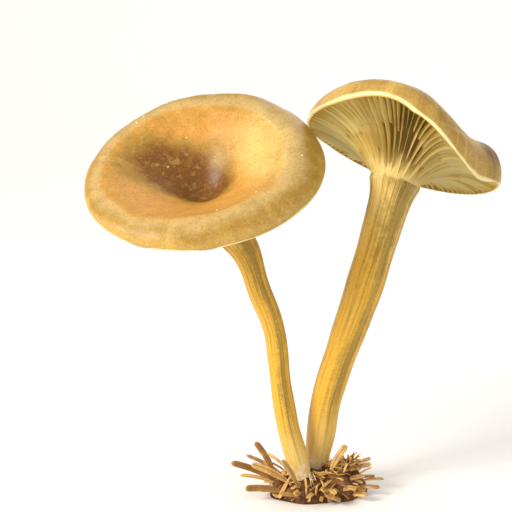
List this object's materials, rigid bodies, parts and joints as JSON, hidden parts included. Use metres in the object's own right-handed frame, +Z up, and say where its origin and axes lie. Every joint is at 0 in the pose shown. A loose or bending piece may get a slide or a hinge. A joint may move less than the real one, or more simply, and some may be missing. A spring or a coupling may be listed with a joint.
{
  "type": "funnel mushroom clump",
  "caption": "Natural clump of two funnel mushrooms with bowl-shaped caps, running gills and slim stems, rising from a tuft of dead fir needles.",
  "frame": {"origin": "on the flat face the tuft rests on, under the place where the two stems meet", "axes": "+Z up, +X from the wide bowl-shaped cap towards the smaller funnel cap, +Y from the front to the back"},
  "size_m": [0.1033, 0.063, 0.107],
  "materials": {
    "bowl_cap_flesh": "matte",
    "funnel_cap_flesh": "matte",
    "humus": "matte",
    "dead_needle": "matte"
  },
  "bodies": {
    "root": {"mushroom_bowl": "bowl_cap_flesh", "mushroom_funnel": "funnel_cap_flesh", "litter_tuft": "humus", "fir_needle_01": "dead_needle", "fir_needle_02": "dead_needle", "fir_needle_03": "dead_needle", "fir_needle_04": "dead_needle", "fir_needle_05": "dead_needle", "fir_needle_06": "dead_needle", "fir_needle_07": "dead_needle", "fir_needle_08": "dead_needle", "fir_needle_09": "dead_needle", "fir_needle_10": "dead_needle", "fir_needle_11": "dead_needle", "fir_needle_12": "dead_needle", "fir_needle_13": "dead_needle", "fir_needle_14": "dead_needle", "fir_needle_15": "dead_needle", "fir_needle_16": "dead_needle", "fir_needle_17": "dead_needle", "fir_needle_18": "dead_needle", "fir_needle_19": "dead_needle", "fir_needle_20": "dead_needle", "fir_needle_21": "dead_needle"}
  },
  "joints": []
}
